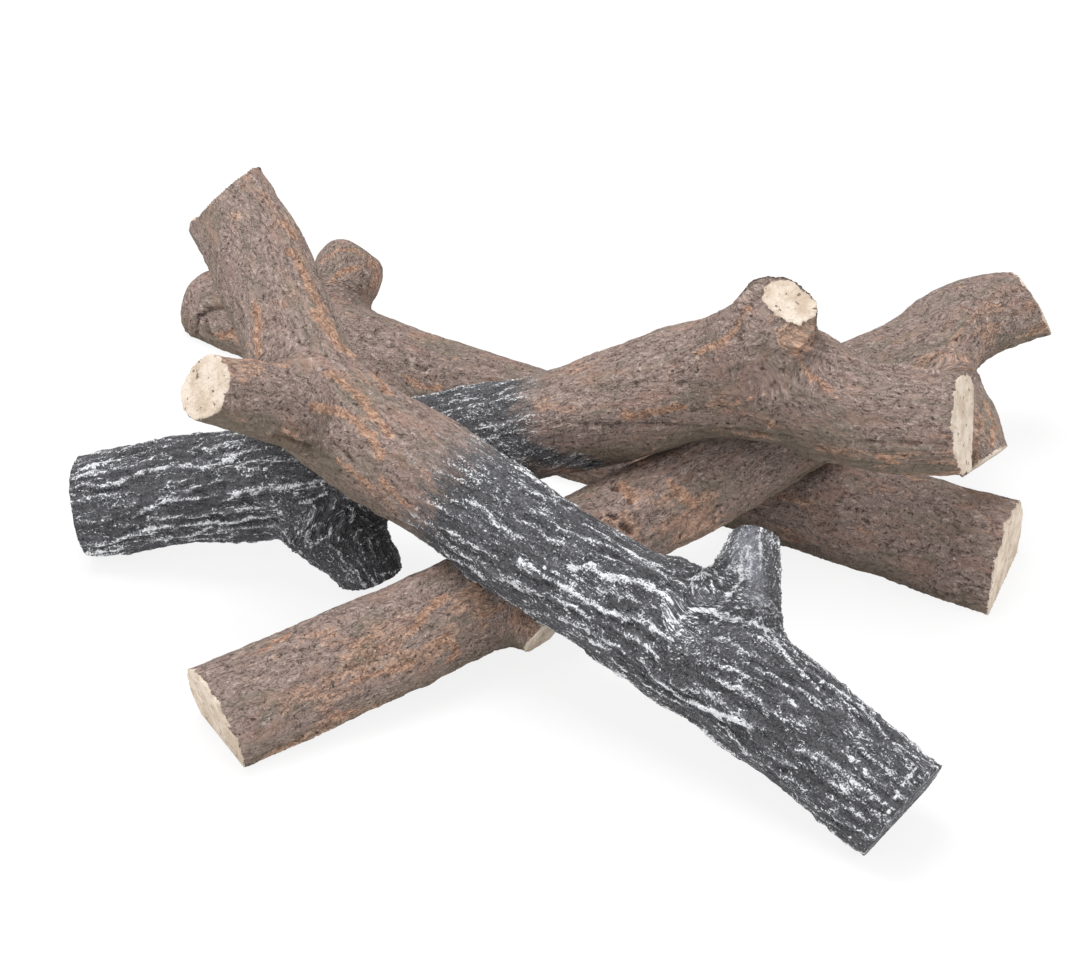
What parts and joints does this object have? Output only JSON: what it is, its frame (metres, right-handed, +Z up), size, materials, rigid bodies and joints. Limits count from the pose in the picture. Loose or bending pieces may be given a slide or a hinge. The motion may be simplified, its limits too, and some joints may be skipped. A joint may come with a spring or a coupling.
{
  "type": "ceramic log set",
  "caption": "Pile of cast ceramic logs for a gas fire: flat-backed forked logs with bark relief and saw-cut ends that rest across each other, some brown and some charred.",
  "frame": {"origin": "on the ground under the middle of the pile's bounding box", "axes": "+Z up out of the hearth, +Y away from the front towards the back of the fire, +X to the right as seen from the front"},
  "size_m": [0.6234, 0.6234, 0.2057],
  "materials": {
    "brown_bark": "matt brown paint on coarse ceramic, with rust-coloured streaks and bare cream saw cuts",
    "charred_bark": "matt charcoal paint on coarse ceramic, dry-brushed with ash white on the ridges"
  },
  "bodies": {
    "rear_log": {"rear_log": "brown_bark"},
    "cross_log": {"cross_log": "brown_bark"},
    "bent_log": {"bent_log": "charred_bark"},
    "top_log": {"top_log": "charred_bark"}
  },
  "joints": [
    {"name": "cross_log_lift", "type": "slide", "parent": "rear_log", "child": "cross_log", "axis": [0, 0, 1], "range_m": [0, 0.15]},
    {"name": "bent_log_lift", "type": "slide", "parent": "cross_log", "child": "bent_log", "axis": [0, 0, 1], "range_m": [0, 0.15]},
    {"name": "top_log_lift", "type": "slide", "parent": "bent_log", "child": "top_log", "axis": [0, 0, 1], "range_m": [0, 0.15]}
  ]
}
